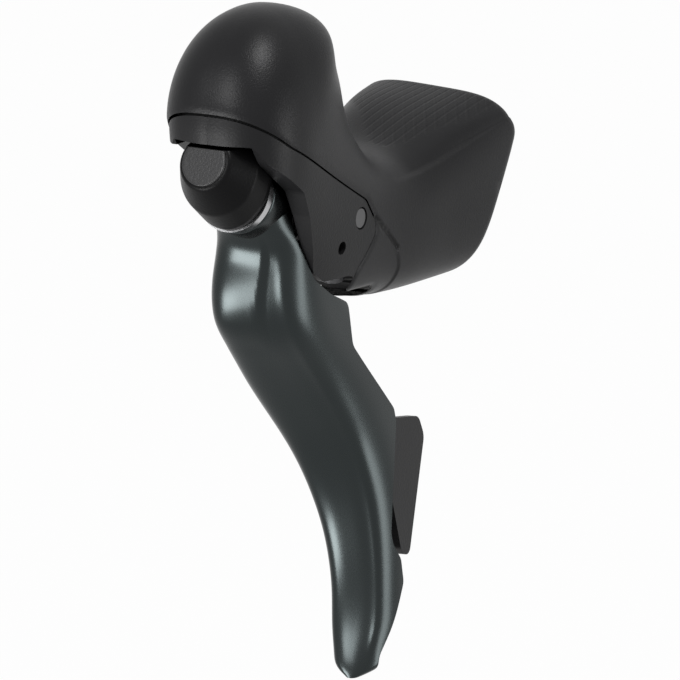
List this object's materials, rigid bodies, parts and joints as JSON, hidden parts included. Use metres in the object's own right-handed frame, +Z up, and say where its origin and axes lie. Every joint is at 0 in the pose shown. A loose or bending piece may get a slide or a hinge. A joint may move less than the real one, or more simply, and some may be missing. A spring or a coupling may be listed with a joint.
{
  "type": "hydraulic brake and shift lever",
  "caption": "Left-hand drop-bar lever for a hydraulic disc brake: rubber-hooded bracket with fluid reservoir, brake blade that also swings to shift, and a release paddle.",
  "frame": {"origin": "centre of the handlebar clamp, on the bar's axis", "axes": "+X outboard (the rider's left), +Y to the rear, +Z up with the brake blade hanging down and forward"},
  "size_m": [0.0431, 0.1261, 0.1688],
  "materials": {
    "hood_rubber": "matte black grip rubber",
    "bracket_plastic": "matte charcoal moulding",
    "lid_plastic": "matte black moulding",
    "seal_rubber": "smooth black seal rubber",
    "dark_steel": "black oxide screw steel",
    "axle_steel": "satin grey steel",
    "band_steel": "plain stainless steel",
    "cast_alloy": "blasted die-cast alloy",
    "spring_steel": "spring wire",
    "bush_brass": "sintered bearing bronze",
    "rim_chrome": "thin bright rim",
    "nose_plastic": "semi-matte dark grey moulding",
    "pad_plastic": "satin grey inlay",
    "blade_lacquer": "glossy grey-green lacquer over alloy",
    "paddle_plastic": "matte charcoal moulding",
    "drum_plastic": "plain grey moulding"
  },
  "bodies": {
    "bracket_body": {"bracket": "bracket_plastic", "hood": "hood_rubber", "reservoir_lid": "lid_plastic", "reservoir_diaphragm": "seal_rubber", "lid_screw_rear": "dark_steel", "lid_screw_front": "dark_steel", "bleed_screw": "dark_steel", "bleed_seal": "seal_rubber", "pivot_axle": "axle_steel", "axle_clip": "dark_steel", "reach_screw": "dark_steel", "cable_guide": "bracket_plastic", "clamp_band": "band_steel", "clamp_nut": "band_steel", "clamp_bolt": "dark_steel", "master_cylinder": "cast_alloy", "stop_ring": "band_steel", "piston_spring": "spring_steel"},
    "piston_body": {"piston": "cast_alloy", "secondary_seal": "seal_rubber", "primary_seal": "seal_rubber", "push_rod": "band_steel"},
    "head_body": {"carrier": "cast_alloy", "axle_bush_inboard": "bush_brass", "axle_bush_outboard": "bush_brass", "return_spring": "spring_steel", "push_pin": "band_steel", "shift_shaft": "band_steel", "shaft_nut": "band_steel", "nose_rim": "rim_chrome", "nose_cap": "nose_plastic", "nose_pad": "pad_plastic"},
    "blade_body": {"blade": "blade_lacquer", "blade_bush": "bush_brass"},
    "paddle_body": {"release_paddle": "paddle_plastic"},
    "drum_body": {"cable_drum": "drum_plastic"}
  },
  "joints": [
    {"name": "brake_pull", "type": "hinge", "parent": "bracket_body", "child": "head_body", "pos_m": [0, -0.064, 0.007], "axis": [1, 0, 0], "range_deg": [0, 20], "stiffness_Nm_per_rad": 1, "springref_deg": -17.19},
    {"name": "shift_swing", "type": "hinge", "parent": "head_body", "child": "blade_body", "pos_m": [0, -0.097, 0.018], "axis": [0, 0.9272, -0.3746], "range_deg": [0, 20], "stiffness_Nm_per_rad": 0.3, "springref_deg": -17.19},
    {"name": "release_swing", "type": "hinge", "parent": "blade_body", "child": "paddle_body", "pos_m": [0, -0.097, 0.018], "axis": [0, 0.9272, -0.3746], "range_deg": [0, 8], "stiffness_Nm_per_rad": 0.1, "springref_deg": -17.19},
    {"name": "drum_turn", "type": "hinge", "parent": "head_body", "child": "drum_body", "pos_m": [0, -0.097, 0.018], "axis": [0, 0.9272, -0.3746], "range_deg": [0, 20]},
    {"name": "piston_slide", "type": "slide", "parent": "bracket_body", "child": "piston_body", "axis": [0, 1, 0], "range_m": [0, 0.005], "deforming": ["piston_spring"]}
  ],
  "couplings": [
    {"joint": "drum_turn", "follows": "shift_swing", "ratio": 1},
    {"joint": "piston_slide", "follows": "brake_pull", "m_per_rad": 0.0132}
  ]
}
